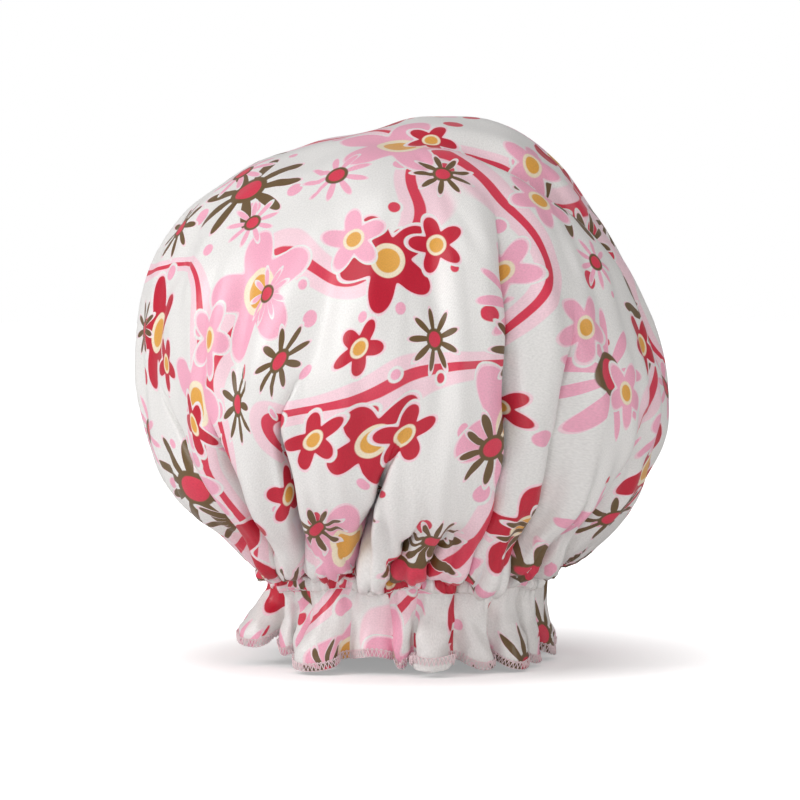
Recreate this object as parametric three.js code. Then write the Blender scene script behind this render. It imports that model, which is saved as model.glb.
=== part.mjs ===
import * as THREE from 'three';

// A puffed satin shower cap that stands on its frill. Millimetres and degrees, +Z up.
// Azimuth 0 is the front, towards -Y, and grows towards +X. Latitude 0 is the crown's widest level.

// Puffed crown
const crownRadius = 100;
const crownRise = 101;
const crownUnder = 79;

// Elastic, a strip whose ends are lapped and tacked together
const elasticInnerRadius = 50;
const elasticWidth = 3;
const elasticThickness = 0.8;
const elasticLap = 12;
const lapGap = 0.3;
const lapAzimuth = 170;
const lapRamp = 14;
const tackLength = 7;
const tackWidth = 2.2;
const tackThickness = 0.4;

// Cloth and film
const satinThickness = 0.5;
const linerThickness = 0.4;
const layerGap = 0.4;

// Channel that holds the elastic between two rows of stitching
const elasticEase = 0.3;
const stitchMargin = 1.1;
const puckerDepth = 1.2;
const threadRadius = 0.35;
const seamGap = 0.3;

// Frill below the channel. Its flutes swing in depth from one to the next, and a narrow one is shallower.
const frillDrop = 30.5;
const hemRadius = 54.5;
const fluteDepth = 6.5;
const fluteSwing = 1.6;
const fluteBeat = 2.4;
const narrowFluteShare = 0.5;
const wideFluteShare = 1.15;
const fluteRise = 2.5;
const flarePower = 2.6;
const hemLift = 12;
const hemLiftAzimuth = -92;
const hemLiftSpread = 27;
const restDip = 0.5;

// Overlocked edge of the frill
const overlockWidth = 3;
const overlockThread = 0.45;
const overlockBead = 1;

// Main folds of the gathered cloth, by hand for the front: where each leaves the elastic,
// where it has leant to at its top, how high it reaches and how deep it is.
const frontFolds = [
  { gather: -80, top: -88, reach: 5, depth: 6 },
  { gather: -61, top: -70, reach: 0, depth: 7 },
  { gather: -52, top: -47, reach: 0, depth: 4 },
  { gather: -43, top: -20, reach: 12, depth: 10 },
  { gather: -21, top: 4, reach: -3, depth: 9 },
  { gather: -9, top: 13, reach: -34, depth: 5 },
  { gather: 7, top: 19, reach: -38, depth: 4 },
  { gather: 22, top: 27, reach: 42, depth: 12 },
  { gather: 41, top: 42, reach: 20, depth: 11 },
  { gather: 56, top: 55, reach: -25, depth: 5 },
  { gather: 79, top: 66, reach: -10, depth: 9 },
];

// Folds round the back, evenly spread and uneven in height, lean and depth: each varies by its own beat,
// in radians from one fold to the next.
const backFoldCount = 9;
const backFoldFrom = 98;
const backFoldTo = 262;
const backFoldReach = 0;
const backFoldReachSwing = 16;
const backFoldDepth = 7.5;
const backFoldDepthSwing = 2;
const backFoldLean = 4;
const backReachBeat = 1.7;
const backReachStart = 0.6;
const backLeanBeat = 2.3;
const backDepthBeat = 2.9;

// How a fold fades: over this much latitude at its top and above the elastic
const foldFade = 38;
const gatherFade = 28;
const leanTop = 10;
const valleyShare = 0.22;

// Uneven puffing of the crown: fuller all round its under-curve, and here and there
const underFullness = 5;
const underLatitude = -38;
const underSpread = 18;
const bulges = [
  { azimuth: 135, latitude: 55, spread: 32, height: 12 },
  { azimuth: 88, latitude: 27, spread: 22, height: -5.5 },
  { azimuth: -90, latitude: 36, spread: 32, height: 8 },
  { azimuth: -95, latitude: -46, spread: 24, height: -5 },
  { azimuth: -60, latitude: 76, spread: 18, height: -3 },
];

// Valley between the front of the crown and the bulge behind its top right
const valleyBehind = 24;
const valleyWidth = 13;
const valleyDepth = 8;
const valleySlope = 45;
const valleySpread = 34;

// Fineness of the faces, and the share of the frill that its slope is taken over
const crownBands = 7;
const crownColumns = 3;
const frillBands = 3;
const frillColumns = 5;
const elasticSteps = 72;
const threadSides = 4;
const slopeStep = 0.02;

const DEG = Math.PI / 180;
const { lerp, smoothstep, clamp, euclideanModulo } = THREE.MathUtils;

// Radii of the channel from the elastic outwards, and heights from the floor up
const lapOuterRadius = elasticInnerRadius + 2 * elasticThickness + lapGap;
const tackOuterRadius = lapOuterRadius + seamGap + tackThickness;
const channelOuterRadius = tackOuterRadius + layerGap + satinThickness;
const channelLinerRadius = elasticInnerRadius - layerGap;
const linerInset = satinThickness + layerGap;
const stitchRadius = (elasticInnerRadius + channelOuterRadius) / 2;
const neckRadius = stitchRadius + puckerDepth;
const lowerStitchHeight = frillDrop;
const elasticLow = lowerStitchHeight + stitchMargin + elasticEase;
const elasticHigh = elasticLow + elasticWidth;
const upperStitchHeight = elasticHigh + elasticEase + stitchMargin;
const neckLatitude = -Math.acos(neckRadius / crownRadius) / DEG;
const widestHeight = upperStitchHeight - crownUnder * Math.sin(neckLatitude * DEG);

// Outward horizontal direction at an azimuth
function outward(azimuth) {
  return new THREE.Vector3(Math.sin(azimuth * DEG), -Math.cos(azimuth * DEG), 0);
}

function atRadius(azimuth, radius, height) {
  return outward(azimuth).multiplyScalar(radius).setZ(height);
}

function backFold(index) {
  const gather = lerp(backFoldFrom, backFoldTo, index / (backFoldCount - 1));
  const swing = Math.sin(index * backReachBeat + backReachStart);
  return {
    gather,
    top: gather + backFoldLean * Math.sin(index * backLeanBeat),
    reach: backFoldReach + backFoldReachSwing * swing,
    depth: backFoldDepth + backFoldDepthSwing * Math.cos(index * backDepthBeat),
  };
}

const folds = frontFolds.concat(Array.from({ length: backFoldCount }, (_, index) => backFold(index)));

// A column lies a share of the way from one fold to the next, right round the cap.
function columnsRound(perLobe) {
  const columns = [];
  for (let lobe = 0; lobe < folds.length; lobe++) {
    for (let step = 0; step < perLobe; step++) columns.push({ lobe, share: step / perLobe });
  }
  return columns;
}

function foldAzimuth(index, latitude) {
  const turn = index >= folds.length ? 360 : 0;
  const fold = folds[index % folds.length];
  return turn + lerp(fold.gather, fold.top, smoothstep(latitude, neckLatitude, leanTop));
}

function columnAzimuth({ lobe, share }, latitude) {
  return lerp(foldAzimuth(lobe, latitude), foldAzimuth(lobe + 1, latitude), share);
}

function foldDepth(index, latitude) {
  const fold = folds[index % folds.length];
  const full = fold.depth * smoothstep(fold.reach - latitude, 0, foldFade);
  return lerp(puckerDepth, full, smoothstep(latitude, neckLatitude, neckLatitude + gatherFade));
}

// How much of a fold's valley is left at a share of the way across the lobe beside it
function valley(share) {
  return Math.exp(-share / valleyShare);
}

function lobeValley({ share }) {
  return clamp(valley(share) + valley(1 - share), 0, 1);
}

function foldSink(column, latitude) {
  const near = foldDepth(column.lobe, latitude) * valley(column.share);
  const far = foldDepth(column.lobe + 1, latitude) * valley(1 - column.share);
  return near + far;
}

function angleBetween(azimuth, latitude, other) {
  const up = Math.sin(latitude * DEG) * Math.sin(other.latitude * DEG);
  const across = Math.cos(latitude * DEG) * Math.cos(other.latitude * DEG);
  return Math.acos(clamp(up + across * Math.cos((azimuth - other.azimuth) * DEG), -1, 1)) / DEG;
}

function unevenness(azimuth, latitude, point) {
  let height = underFullness * Math.exp(-(((latitude - underLatitude) / underSpread) ** 2));
  for (const bulge of bulges) {
    height += bulge.height * Math.exp(-((angleBetween(azimuth, latitude, bulge) / bulge.spread) ** 2));
  }
  const slope = Math.atan2(point.z - widestHeight, point.x) / DEG;
  const along = Math.exp(-(((slope - valleySlope) / valleySpread) ** 2));
  const behind = Math.exp(-(((point.y - valleyBehind) / valleyWidth) ** 2));
  const calm = smoothstep(latitude, neckLatitude, neckLatitude + gatherFade);
  return (height - valleyDepth * along * behind) * calm;
}

// The puffed satin's outer face, and points a given inset inside it
function crownPoint(column, latitude, inset) {
  const azimuth = columnAzimuth(column, latitude);
  const vertical = latitude > 0 ? crownRise : crownUnder;
  const level = Math.sin(latitude * DEG);
  const span = Math.cos(latitude * DEG);
  const point = atRadius(azimuth, crownRadius * span, widestHeight + vertical * level);
  const atNeck = latitude <= neckLatitude;
  const normal = outward(azimuth).multiplyScalar(span / crownRadius).setZ(atNeck ? 0 : level / vertical);
  const proud = unevenness(azimuth, latitude, point) - foldSink(column, latitude) - inset;
  return point.addScaledVector(normal.normalize(), proud);
}

// Rings of a layer from the pole down to the elastic's channel
function crownRings(columns, inset) {
  const rings = [];
  for (let band = 0; band <= crownBands; band++) {
    const latitude = lerp(90, neckLatitude, band / crownBands);
    rings.push(columns.map((column) => crownPoint(column, latitude, inset)));
  }
  const pole = rings[0].reduce((sum, point) => sum.add(point), new THREE.Vector3());
  rings[0] = [pole.divideScalar(columns.length)];
  return rings;
}

// A ring of the gathered channel: its radius in the folds, and how far it puckers out between them
function channelRing(columns, radius, pucker, height) {
  return columns.map((column) => {
    const out = radius + pucker * (1 - lobeValley(column));
    return atRadius(columnAzimuth(column, neckLatitude), out, height);
  });
}

// The channel's outer wall over the elastic and its inner wall behind it
function satinChannel(columns, inset) {
  const end = lowerStitchHeight + seamGap / 2;
  return [
    channelRing(columns, channelOuterRadius - inset, puckerDepth, elasticHigh + elasticEase),
    channelRing(columns, channelOuterRadius - inset, puckerDepth, elasticLow - elasticEase),
    channelRing(columns, stitchRadius - inset, puckerDepth, end),
  ];
}

function linerChannel(columns, inset) {
  const end = lowerStitchHeight + seamGap / 2;
  return [
    channelRing(columns, channelLinerRadius - inset, 0, elasticHigh + elasticEase),
    channelRing(columns, channelLinerRadius - inset, 0, elasticLow - elasticEase),
    channelRing(columns, stitchRadius - linerInset - inset, puckerDepth, end),
  ];
}

// Frill
function lobeWidth(lobe) {
  return foldAzimuth(lobe + 1, neckLatitude) - foldAzimuth(lobe, neckLatitude);
}

const meanLobe = 360 / folds.length;

function hemHeight(column) {
  const azimuth = columnAzimuth(column, neckLatitude);
  const turned = euclideanModulo(azimuth - hemLiftAzimuth, 360);
  const away = Math.min(turned, 360 - turned);
  const lift = hemLift * Math.exp(-((away / hemLiftSpread) ** 2));
  const inFold = (1 + Math.cos(2 * Math.PI * column.share)) / 2;
  return overlockBead + seamGap - restDip + lift + fluteRise * inFold;
}

// Middle of the frill's cloth, a share of the way down from the channel to the hem
function frillPoint(column, down) {
  const top = stitchRadius - satinThickness / 2 + puckerDepth * (1 - lobeValley(column));
  const uneven = fluteDepth + fluteSwing * Math.sin(column.lobe * fluteBeat);
  const depth = uneven * clamp(lobeWidth(column.lobe) / meanLobe, narrowFluteShare, wideFluteShare);
  const hem = hemRadius - fluteDepth + depth * (1 - Math.cos(2 * Math.PI * column.share));
  const radius = lerp(top, hem, 1 - (1 - down) ** flarePower);
  const height = lerp(lowerStitchHeight - seamGap / 2, hemHeight(column), down);
  return atRadius(columnAzimuth(column, neckLatitude), radius, height);
}

// The cloth's own directions at a point of the frill: down towards the hem and out of its face
function frillFrame(column, down) {
  const before = frillPoint(column, Math.max(down - slopeStep, 0));
  const after = frillPoint(column, Math.min(down + slopeStep, 1));
  const left = frillPoint({ lobe: column.lobe, share: column.share - slopeStep }, down);
  const right = frillPoint({ lobe: column.lobe, share: column.share + slopeStep }, down);
  const along = after.sub(before).normalize();
  const face = right.sub(left).cross(along).normalize().negate();
  if (face.dot(outward(columnAzimuth(column, neckLatitude))) < 0) face.negate();
  return { along, face };
}

function frillRing(columns, down, offset) {
  return columns.map((column) => {
    const face = frillFrame(column, down).face;
    if (down === 0) face.setZ(0).normalize();
    return frillPoint(column, down).addScaledVector(face, offset);
  });
}

// Meshes: triangles between two rings of points, where a ring of one point is a pole. Quads are split
// from the first ring's corner, or from the second's, so that two layers of cloth crease alike.
function joinRings(triangles, first, second, splitFromSecond = false) {
  const count = Math.max(first.count, second.count);
  for (let index = 0; index < count; index++) {
    const next = (index + 1) % count;
    const here = first.start + (first.count > 1 ? index : 0);
    const after = first.start + (first.count > 1 ? next : 0);
    const across = second.start + (second.count > 1 ? index : 0);
    const beyond = second.start + (second.count > 1 ? next : 0);
    if (second.count > 1) triangles.push(splitFromSecond && first.count > 1 ? after : here, across, beyond);
    if (first.count > 1) triangles.push(here, splitFromSecond && second.count > 1 ? across : beyond, after);
  }
}

function toGeometry(rings, join) {
  const positions = [];
  const runs = [];
  for (const ring of rings) {
    runs.push({ start: positions.length / 3, count: ring.length });
    for (const point of ring) positions.push(point.x, point.y, point.z);
  }
  const triangles = [];
  join(triangles, runs);
  const geometry = new THREE.BufferGeometry();
  geometry.setAttribute('position', new THREE.Float32BufferAttribute(positions, 3));
  geometry.setIndex(triangles);
  geometry.computeVertexNormals();
  return geometry;
}

// A layer of cloth from its outer and inner rings, closed by a pole at the top or by an edge
function layerToGeometry(outer, inner) {
  return toGeometry([...outer, ...inner], (triangles, runs) => {
    const faces = [runs.slice(0, outer.length), runs.slice(outer.length)];
    for (let band = 0; band < outer.length - 1; band++) {
      joinRings(triangles, faces[0][band], faces[0][band + 1]);
      joinRings(triangles, faces[1][band + 1], faces[1][band], true);
    }
    joinRings(triangles, faces[0].at(-1), faces[1].at(-1));
    if (outer[0].length > 1) joinRings(triangles, faces[1][0], faces[0][0]);
  });
}

// A loop of one section round the cap, as rings of the section's corners
function loopToGeometry(rings) {
  return toGeometry(rings, (triangles, runs) => {
    runs.forEach((run, index) => joinRings(triangles, run, runs[(index + 1) % runs.length]));
  });
}

// A strip along an open run of sections, closed by a flat cap at each end
function stripToGeometry(sections) {
  return toGeometry(sections, (triangles, runs) => {
    for (let step = 0; step < runs.length - 1; step++) joinRings(triangles, runs[step], runs[step + 1]);
    const last = runs.at(-1).start;
    for (let corner = 1; corner < runs[0].count - 1; corner++) {
      triangles.push(0, corner, corner + 1);
      triangles.push(last, last + corner + 1, last + corner);
    }
  });
}

function satinCrown() {
  const columns = columnsRound(crownColumns);
  const outer = crownRings(columns, 0).concat(satinChannel(columns, 0));
  const inner = crownRings(columns, satinThickness).concat(satinChannel(columns, satinThickness));
  return layerToGeometry(outer, inner);
}

function waterproofLiner() {
  const columns = columnsRound(crownColumns);
  const outer = crownRings(columns, linerInset).concat(linerChannel(columns, 0));
  const inside = linerInset + linerThickness;
  const inner = crownRings(columns, inside).concat(linerChannel(columns, linerThickness));
  return layerToGeometry(outer, inner);
}

// Where the overlock's upper edge lies on the frill, as a share of the way down
const overlockTop = 1 - overlockWidth / frillDrop;

function satinFrill() {
  const columns = columnsRound(frillColumns);
  const levels = [];
  for (let band = 0; band <= frillBands; band++) levels.push((overlockTop * band) / frillBands);
  levels.push(1);
  const outer = levels.map((down) => frillRing(columns, down, satinThickness / 2));
  const inner = levels.map((down) => frillRing(columns, down, -satinThickness / 2));
  return layerToGeometry(outer, inner);
}

// Thread wrapped round the frill's raw edge: up both faces, and a bead under the edge that rests flat
function hemOverlock() {
  const columns = columnsRound(frillColumns);
  const clear = satinThickness / 2 + seamGap;
  const proud = clear + overlockThread;
  const under = seamGap + overlockBead;
  const edgeRing = (across, below) =>
    frillRing(columns, 1, across).map((point, index) => {
      const moved = point.addScaledVector(frillFrame(columns[index], 1).along, below);
      return below === under ? moved.setZ(Math.max(moved.z, 0)) : moved;
    });
  const outer = [
    frillRing(columns, overlockTop, proud),
    edgeRing(proud, under),
    edgeRing(-proud, under),
    frillRing(columns, overlockTop, -proud),
  ];
  const inner = [
    frillRing(columns, overlockTop, clear),
    edgeRing(clear, seamGap),
    edgeRing(-clear, seamGap),
    frillRing(columns, overlockTop, -clear),
  ];
  return layerToGeometry(outer, inner);
}

// A row of thread that lies in the groove it draws into the satin
function stitchRow(height) {
  const columns = columnsRound(crownColumns);
  const grooveSlope = Math.atan2(stitchMargin, channelOuterRadius - stitchRadius);
  const out = stitchRadius + (threadRadius + seamGap) / Math.sin(grooveSlope);
  const rings = [];
  for (let side = 0; side < threadSides; side++) {
    const turn = (side / threadSides) * 2 * Math.PI;
    const radius = out + threadRadius * Math.cos(turn);
    rings.push(channelRing(columns, radius, puckerDepth, height + threadRadius * Math.sin(turn)));
  }
  return loopToGeometry(rings.reverse());
}

// Elastic strip, once round and on over its own start
function elasticBand() {
  const lapAngle = elasticLap / elasticInnerRadius / DEG;
  const total = 360 + lapAngle;
  const sections = [];
  for (let step = 0; step <= elasticSteps; step++) {
    const turned = (total * step) / elasticSteps;
    const climb = smoothstep(turned, 360 - lapRamp, 360) * (elasticThickness + lapGap);
    const azimuth = lapAzimuth + turned;
    const inside = elasticInnerRadius + climb;
    const outside = inside + elasticThickness;
    sections.push([
      atRadius(azimuth, inside, elasticLow),
      atRadius(azimuth, outside, elasticLow),
      atRadius(azimuth, outside, elasticHigh),
      atRadius(azimuth, inside, elasticHigh),
    ]);
  }
  return stripToGeometry(sections);
}

// Thread tack over the lapped ends, in the middle of the lap
function elasticTack() {
  const tack = new THREE.BoxGeometry(tackLength, tackThickness, tackWidth);
  const middle = lapAzimuth + elasticLap / elasticInnerRadius / DEG / 2;
  const bow = lapOuterRadius * (1 - Math.cos(tackLength / 2 / lapOuterRadius));
  const radius = tackOuterRadius - tackThickness / 2 - bow / 2;
  tack.rotateZ(middle * DEG);
  const place = atRadius(middle, radius, (elasticLow + elasticHigh) / 2);
  return tack.translate(place.x, place.y, place.z);
}

const satinWhite = { color: 0xf2efec, roughness: 0.42, metalness: 0 };
const filmWhite = { color: 0xeef0f0, roughness: 0.3, metalness: 0 };
const braidWhite = { color: 0xe8e6e2, roughness: 0.85, metalness: 0 };
const threadWhite = { color: 0xf3ece9, roughness: 0.7, metalness: 0 };
const threadPink = { color: 0xf0cfd6, roughness: 0.7, metalness: 0 };

const cap = new THREE.Group();

function addPiece(name, geometry, finish) {
  const mesh = new THREE.Mesh(geometry, new THREE.MeshStandardMaterial(finish));
  mesh.name = name;
  cap.add(mesh);
}

addPiece('satin_crown', satinCrown(), satinWhite);
addPiece('satin_frill', satinFrill(), satinWhite);
addPiece('waterproof_liner', waterproofLiner(), filmWhite);
addPiece('elastic_band', elasticBand(), braidWhite);
addPiece('elastic_tack', elasticTack(), threadWhite);
addPiece('upper_channel_stitching', stitchRow(upperStitchHeight), threadWhite);
addPiece('lower_channel_stitching', stitchRow(lowerStitchHeight), threadWhite);
addPiece('hem_overlock', hemOverlock(), threadPink);

// The cap's middle stands over the origin, with its hem on the floor at z = 0.
const bounds = new THREE.Box3().setFromObject(cap, true);
const middle = bounds.getCenter(new THREE.Vector3());
cap.position.set(-middle.x, -middle.y, -bounds.min.z);

export default cap;
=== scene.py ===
# %% [markdown]
# A satin shower cap, set down on its frill.
#
# The real cap is one cut circle of printed satin over a circle of waterproof film. A loop of
# elastic, sewn into a narrow channel, gathers both into a mouth, and the satin that is left below
# the elastic makes the frill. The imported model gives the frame: its pieces are loaded first, and
# each visible piece made here takes the place of one of them.

# %% Frame
import math

import bmesh
import bpy
import numpy as np
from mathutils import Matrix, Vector, noise


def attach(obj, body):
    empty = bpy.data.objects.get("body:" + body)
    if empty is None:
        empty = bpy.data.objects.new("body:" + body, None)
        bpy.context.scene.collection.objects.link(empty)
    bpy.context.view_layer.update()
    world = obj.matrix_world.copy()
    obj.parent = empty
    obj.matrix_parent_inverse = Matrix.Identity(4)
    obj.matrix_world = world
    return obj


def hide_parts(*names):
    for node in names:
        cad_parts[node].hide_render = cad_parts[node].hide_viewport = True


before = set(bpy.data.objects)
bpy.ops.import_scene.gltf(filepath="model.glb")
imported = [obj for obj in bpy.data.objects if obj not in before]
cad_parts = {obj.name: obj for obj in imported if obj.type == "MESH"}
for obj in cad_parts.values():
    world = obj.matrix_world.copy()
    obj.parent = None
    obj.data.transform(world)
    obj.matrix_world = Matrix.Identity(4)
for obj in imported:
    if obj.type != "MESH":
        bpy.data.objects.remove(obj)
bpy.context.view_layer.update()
MM = 0.001
print("frame:", sorted(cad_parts))

# %% [markdown]
# Camera. The photograph looks almost level at the cap, from far enough away that the sides hardly
# converge. A long lens at 1.4 m, three degrees above level, gives the same outline.

# %% Camera
IMAGE_SIDE = 800
PIXELS_PER_MM = 2.647
CAMERA_DISTANCE = 1.4
CAMERA_ELEVATION = math.radians(3)
CAMERA_AIM = Vector((0, 0, 0.098))
SENSOR = 36


def add_object(name, data):
    """A new object in the scene."""
    added = bpy.data.objects.new(name, data)
    bpy.context.scene.collection.objects.link(added)
    return added


camera_data = bpy.data.cameras.new("camera")
camera_data.sensor_width = SENSOR
camera_data.lens = SENSOR * PIXELS_PER_MM * (CAMERA_DISTANCE / MM) / IMAGE_SIDE
camera = add_object("camera", camera_data)
back = Vector((0, -math.cos(CAMERA_ELEVATION), math.sin(CAMERA_ELEVATION)))
camera.location = CAMERA_AIM + CAMERA_DISTANCE * back
camera.rotation_euler = (-back).to_track_quat("-Z", "Y").to_euler()
bpy.context.scene.camera = camera
print(f"camera: {camera_data.lens:.1f} mm lens")

# %% [markdown]
# Folds. Where the elastic draws the circle in, the spare cloth stands in folds that run up the
# crown. A table holds the ones that show: the path of each fold's valley up the crown, from the
# elastic at the first pair, as pairs of latitude and azimuth in degrees, then how high it reaches,
# how deep it is, and how far one side laps over the other. Azimuth 0 is the front and grows to the
# right, and latitude 0 is the crown's widest level. Round the back the folds follow a rule.

# %% Folds
NECK_LATITUDE = -58.0

front_folds = [
    # path, reach, depth in mm, lap (+ for the left side over the right), azimuth at the hem,
    # and for the flute on its right: how far it bulges and how far its hem is raised
    ([(-58, -80), (-30, -84), (5, -90)], 6, 5, 0.3, -92, 1.1, 0),
    ([(-58, -62), (-52, -56), (-33, -51), (-25, -54), (-14, -60), (2, -69)], 8, 6, -0.8, -68, 1.0, 1),
    ([(-58, -52), (-33, -42), (-10, -45), (4, -48)], 2, 4, 0.4, -57, 0.8, 1),
    (
        [(-58, -43), (-52, -37), (-34, -28), (-20, -28), (-7, -29), (4, -23), (14, -16)],
        10, 5.5, 0.9, -47, 1.08, 0.4,
    ),
    ([(-58, -20), (-39, -11), (-24, -7), (-9, -1), (0, 4)], -4, 7.5, -0.7, -26, 0.55, 6),
    ([(-58, -9), (-48, -2), (-32, 4), (0, 11)], -26, 6, -0.5, -6, 0.9, 1.5),
    ([(-58, 6), (-45, 10), (-34, 12), (0, 16)], -32, 5, 0.4, 3, 1.05, 0),
    ([(-58, 20), (-45, 21), (-26, 21), (-10, 23), (-4, 21), (20, 22), (44, 27)], 46, 12, 0.9, 21, 0.8, 0.5),
    ([(-58, 40), (-44, 35), (-26, 34), (-12, 34), (2, 36), (14, 41)], 22, 12, 0.9, 38, 1.0, 0),
    ([(-58, 54), (-45, 47), (-30, 46)], -20, 6, 0.4, 57, 0.8, 0.5),
    ([(-58, 70), (-50, 62), (-37, 57), (-25, 56), (-12, 61)], -3, 10, 0.7, 75, 0.8, 1),
]
BACK_FOLDS = 9
BACK_FROM, BACK_TO = 98, 262
BACK_LEAN, BACK_LAP, BACK_HEM_SHIFT = 4, 0.8, 2
BACK_REACH, REACH_VARIES, BACK_DEPTH, DEPTH_VARIES = 2, 18, 8.5, 2.5
SWELL_VARIES = 0.08


def back_fold(index):
    """One of the folds round the back: each value swings at its own beat, so no two are alike."""
    gather = BACK_FROM + (BACK_TO - BACK_FROM) * index / (BACK_FOLDS - 1)
    lean = BACK_LEAN * math.sin(index * 2.3)
    reach = BACK_REACH + REACH_VARIES * math.sin(index * 1.7 + 0.6)
    depth = BACK_DEPTH + DEPTH_VARIES * math.cos(index * 2.9)
    lap = BACK_LAP * math.sin(index * 3.1)
    at_hem = gather + BACK_HEM_SHIFT * math.sin(index * 1.3)
    swell, raised = 1 + SWELL_VARIES * math.sin(index * 2.4), 1 + math.cos(index * 1.9)
    path = [(NECK_LATITUDE, gather), (-25, gather + 0.4 * lean), (10, gather + lean)]
    return path, reach, depth, lap, at_hem, swell, raised


folds = front_folds + [back_fold(index) for index in range(BACK_FOLDS)]
print(f"folds: {len(folds)}, of which {len(front_folds)} are placed by hand")

# %% [markdown]
# Rows and columns of the cloth. The satin could be draped from a flat circle by simulation alone,
# but then its folds would fall anywhere. Here a grid is laid over the crown: a column lies a share
# of the way from one fold to the next, and a row is a level, from the top of the crown over the
# elastic's channel to the hem. Columns crowd towards the folds, where the cloth bends most.

# %% Grid of the cloth
CROWN_ROWS, CHANNEL_ROWS, FRILL_ROWS = 76, 8, 32
COLUMNS_ROUND, FEWEST_COLUMNS = 770, 16

gathers = np.array([fold[0][0][1] for fold in folds], float)
lobe_widths = np.diff(np.append(gathers, gathers[0] + 360))
lobe_columns = np.maximum(FEWEST_COLUMNS, np.round(COLUMNS_ROUND * lobe_widths / 360)).astype(int)
column_lobe = np.repeat(np.arange(len(folds)), lobe_columns)
column_share = np.concatenate([(1 - np.cos(np.pi * np.arange(n) / n)) / 2 for n in lobe_columns])
next_fold = (column_lobe + 1) % len(folds)
turn = np.where(column_lobe + 1 == len(folds), 360.0, 0.0)
latitudes = np.linspace(90, NECK_LATITUDE, CROWN_ROWS + 1)
print(f"grid: {len(column_lobe)} columns, {CROWN_ROWS + CHANNEL_ROWS + FRILL_ROWS + 1} rows")

# %% [markdown]
# Dome. The puffed crown is a dome that is a little fuller under its widest level. At its top right
# the cloth swells behind a shallow valley, so the front ends in a ridge there, and broad bulges and
# flats make the outline uneven. A ball could be sculpted by hand, but bulges in a table can be
# measured against the photograph and changed one at a time.

# %% Dome of the crown
CROWN_RADIUS, CROWN_RISE, CROWN_UNDER = 100.0, 98.5, 79.0
WIDEST_HEIGHT = 103.3
CENTRE = np.array([2.53, 0.06, 0.0])
UNDER_FULLNESS, UNDER_LATITUDE, UNDER_SPREAD = 5.0, -38.0, 18.0
# azimuth, latitude and spread in degrees, height in millimetres
BULGES = [
    (135, 55, 32, 10),
    (88, 30, 24, -7.5),
    (95, 54, 18, -1.2),
    (-90, 36, 30, 5.5),
    (-86, -52, 20, -8),
    (-70, 70, 20, -3.5),
    (92, -26, 24, -3.5),
    (95, 66, 14, 1.8),
    (95, 47, 14, -1.3),
]
BULGE_FADE = 28.0
VALLEY_PLACE, VALLEY_TURN, VALLEY_SPAN, VALLEY_DEPTH = -31.0, 0.45, 8.5, 10.0
VALLEY_SLOPE, VALLEY_SPREAD = 52.0, 34.0


def ease(value, low, high):
    """A smooth step from 0 at low to 1 at high."""
    share = np.clip((value - low) / (high - low), 0, 1)
    return share * share * (3 - 2 * share)


def bell(value, middle, spread):
    """1 in the middle, with a smooth fall to 0 on both sides."""
    return np.exp(-(((value - middle) / spread) ** 2))


def unevenness(azimuth, latitude, point):
    """How far the crown stands proud of its base dome."""
    height = UNDER_FULLNESS * bell(latitude, UNDER_LATITUDE, UNDER_SPREAD)
    up, level = np.sin(np.radians(latitude)), np.cos(np.radians(latitude))
    for other_azimuth, other_latitude, spread, tall in BULGES:
        other, between = math.radians(other_latitude), np.radians(azimuth - other_azimuth)
        cosine = up * math.sin(other) + level * math.cos(other) * np.cos(between)
        away = np.degrees(np.arccos(np.clip(cosine, -1, 1)))
        height = height + tall * bell(away, 0, spread)
    slope = np.degrees(np.arctan2(point[..., 2] - WIDEST_HEIGHT, point[..., 0]))
    along = bell(slope, VALLEY_SLOPE, VALLEY_SPREAD)
    place = VALLEY_PLACE + VALLEY_TURN * np.clip(VALLEY_SLOPE - slope, 0, None)
    behind = bell(point[..., 1], place, VALLEY_SPAN)
    calm = ease(latitude, NECK_LATITUDE, NECK_LATITUDE + BULGE_FADE)
    return (height - VALLEY_DEPTH * along * behind) * calm


print(f"dome: {2 * CROWN_RADIUS:.0f} mm wide, with {len(BULGES)} bulges and flats")

# %% [markdown]
# Pleats. Each fold sinks into the dome as a valley with a narrow slit at the bottom, where the spare
# cloth goes, and the side that laps over is pushed across the valley, as a pleat lies over the next
# one. Towards the elastic the valleys fade into small puckers.

# %% Pleats
PATH_SOFTENING = 14
FOLD_FADE, GATHER_FADE = 34.0, 24.0
FOLD_WIDTH, FOLD_SHARE = 6.5, 0.24
NECK_PUCKER = 2.2
SLIT_DEPTH, SLIT_WIDTH, SLIT_SHARE = 23.0, 0.9, 0.05
LAP_PULL, LAP_COVER = 0.55, 1.5


def softened(values, times):
    """A row of values with its corners rounded off, its two ends kept."""
    for _ in range(times):
        first, last = 2 * values[:1] - values[1:2], 2 * values[-1:] - values[-2:-1]
        padded = np.concatenate([first, values, last])
        values = 0.25 * padded[:-2] + 0.5 * padded[1:-1] + 0.25 * padded[2:]
    return values


def fold_rows(levels):
    """Azimuth, depth, lap and slit depth at each latitude, for each fold."""
    rows = []
    calm = ease(levels, NECK_LATITUDE, NECK_LATITUDE + GATHER_FADE)
    slit_bottom = ease(levels, NECK_LATITUDE, NECK_LATITUDE + 8)
    for path, reach, deep, over, *_ in folds:
        knots = np.array(path[::-1], float)
        azimuth = softened(np.interp(-levels, -knots[:, 0], knots[:, 1]), PATH_SOFTENING)
        full = deep * ease(reach - levels, 0, FOLD_FADE)
        depth = NECK_PUCKER + (full - NECK_PUCKER) * calm
        slit_top = ease(reach - levels, 4, FOLD_FADE + 14)
        rows.append((azimuth, depth, over * full * calm, SLIT_DEPTH * slit_top * slit_bottom))
    return np.array(rows).transpose(1, 0, 2)


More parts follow.
